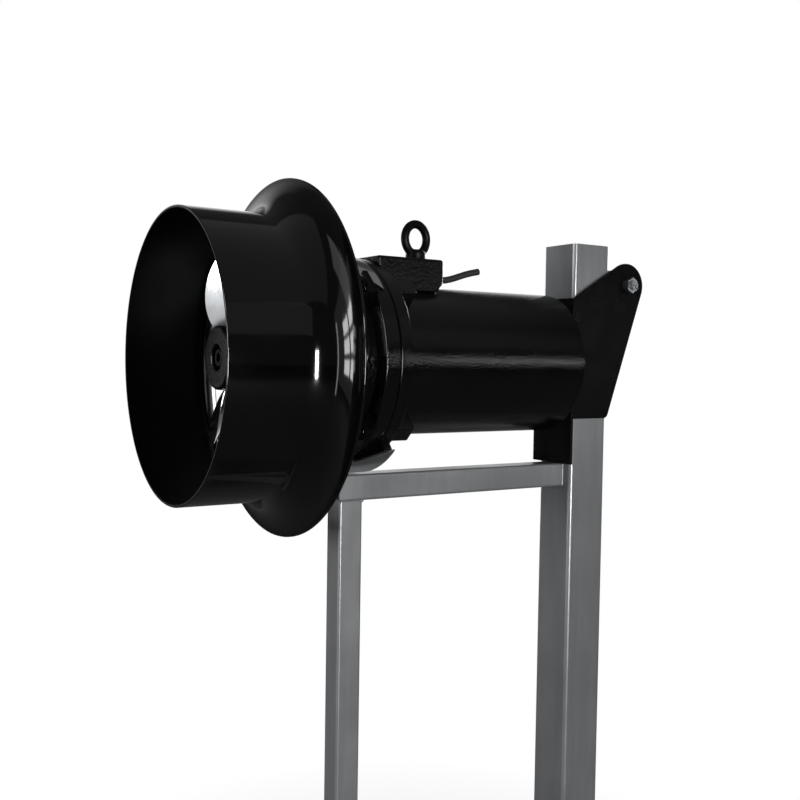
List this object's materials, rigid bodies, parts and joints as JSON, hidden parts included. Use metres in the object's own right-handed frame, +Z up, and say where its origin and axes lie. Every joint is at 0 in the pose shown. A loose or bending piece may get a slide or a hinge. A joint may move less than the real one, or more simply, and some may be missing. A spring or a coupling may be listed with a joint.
{
  "type": "submersible mixer",
  "caption": "Submersible mixer with a bell-mouthed guide ring, polished propeller, black motor casing and lifting eye, riding by its rear bracket on the square guide rail of a steel stand.",
  "frame": {"origin": "on the floor, under the middle of the bounding box", "axes": "+Z up, the mixer's axis along X with the propeller end at -X, the near side of the picture at -Y"},
  "size_m": [0.6358, 0.386, 0.923],
  "materials": {
    "gloss_black_paint": "gloss black paint on spun steel sheet",
    "textured_black_paint": "semi-gloss black paint with a fine hammered texture on cast iron",
    "black_cast_iron": "black paint on rough cast iron",
    "bracket_black_paint": "textured black paint on steel plate",
    "polished_stainless": "mirror-polished stainless steel",
    "stainless_fasteners": "plain stainless fasteners",
    "turned_steel": "turned stainless steel",
    "bearing_steel": "ground bearing steel",
    "seal_face": "lapped silicon carbide",
    "seal_rubber": "black nitrile rubber",
    "core_plate": "stacked electrical steel",
    "winding_copper": "varnished copper wire",
    "black_forged_eye": "black paint on forged steel",
    "gland_plastic": "moulded black nylon",
    "cable_rubber": "black rubber cable sheath",
    "roller_nylon": "turned black cast nylon",
    "silver_paint": "satin silver-grey paint on square steel tube",
    "cap_plastic": "moulded black plastic"
  },
  "bodies": {
    "stand": {"guide_post": "silver_paint", "front_leg": "silver_paint", "brace": "silver_paint", "front_foot": "silver_paint", "rear_foot": "silver_paint", "base_rail": "silver_paint", "foot_caps": "cap_plastic"},
    "mixer": {"guide_ring": "gloss_black_paint", "flange_bolts": "stainless_fasteners", "seal_housing": "black_cast_iron", "seal_housing_screws": "stainless_fasteners", "oil_plug": "stainless_fasteners", "seal_seat": "seal_face", "front_flange": "textured_black_paint", "flange_gasket": "seal_rubber", "front_bearing_outer": "bearing_steel", "front_bearing_balls": "bearing_steel", "motor_casing": "textured_black_paint", "motor_flange": "textured_black_paint", "stator_core": "core_plate", "stator_windings": "winding_copper", "rear_bearing_outer": "bearing_steel", "rear_bearing_balls": "bearing_steel", "rear_cover": "textured_black_paint", "cover_screws": "textured_black_paint", "cable_box": "black_cast_iron", "eye_bolt": "black_forged_eye", "cable_gland": "gland_plastic", "cable": "cable_rubber", "bracket_plate": "bracket_black_paint", "bracket_screws": "stainless_fasteners", "slide_pad": "roller_nylon", "pad_screws": "stainless_fasteners", "near_cheek": "bracket_black_paint", "far_cheek": "bracket_black_paint", "axle_bolt": "stainless_fasteners", "axle_washers": "bracket_black_paint", "axle_spacers": "stainless_fasteners", "axle_nut": "stainless_fasteners"},
    "rotor": {"propeller": "polished_stainless", "hub_cap": "black_cast_iron", "propeller_bolt": "stainless_fasteners", "propeller_washer": "stainless_fasteners", "shaft_key": "turned_steel", "shaft": "turned_steel", "seal_ring": "seal_face", "seal_bellows": "seal_rubber", "front_bearing_inner": "bearing_steel", "rotor_core": "core_plate", "rear_bearing_inner": "bearing_steel"},
    "roller": {"guide_roller": "roller_nylon"}
  },
  "joints": [
    {"name": "mixer_slide", "type": "slide", "parent": "stand", "child": "mixer", "axis": [0, 0, 1], "range_m": [0, 0.045]},
    {"name": "propeller_spin", "type": "hinge", "parent": "mixer", "child": "rotor", "pos_m": [-0.2269, 0, 0.73], "axis": [1, 0, 0], "continuous": true},
    {"name": "guide_roller_spin", "type": "hinge", "parent": "mixer", "child": "roller", "pos_m": [0.2889, 0, 0.833], "axis": [0, 1, 0], "continuous": true}
  ]
}
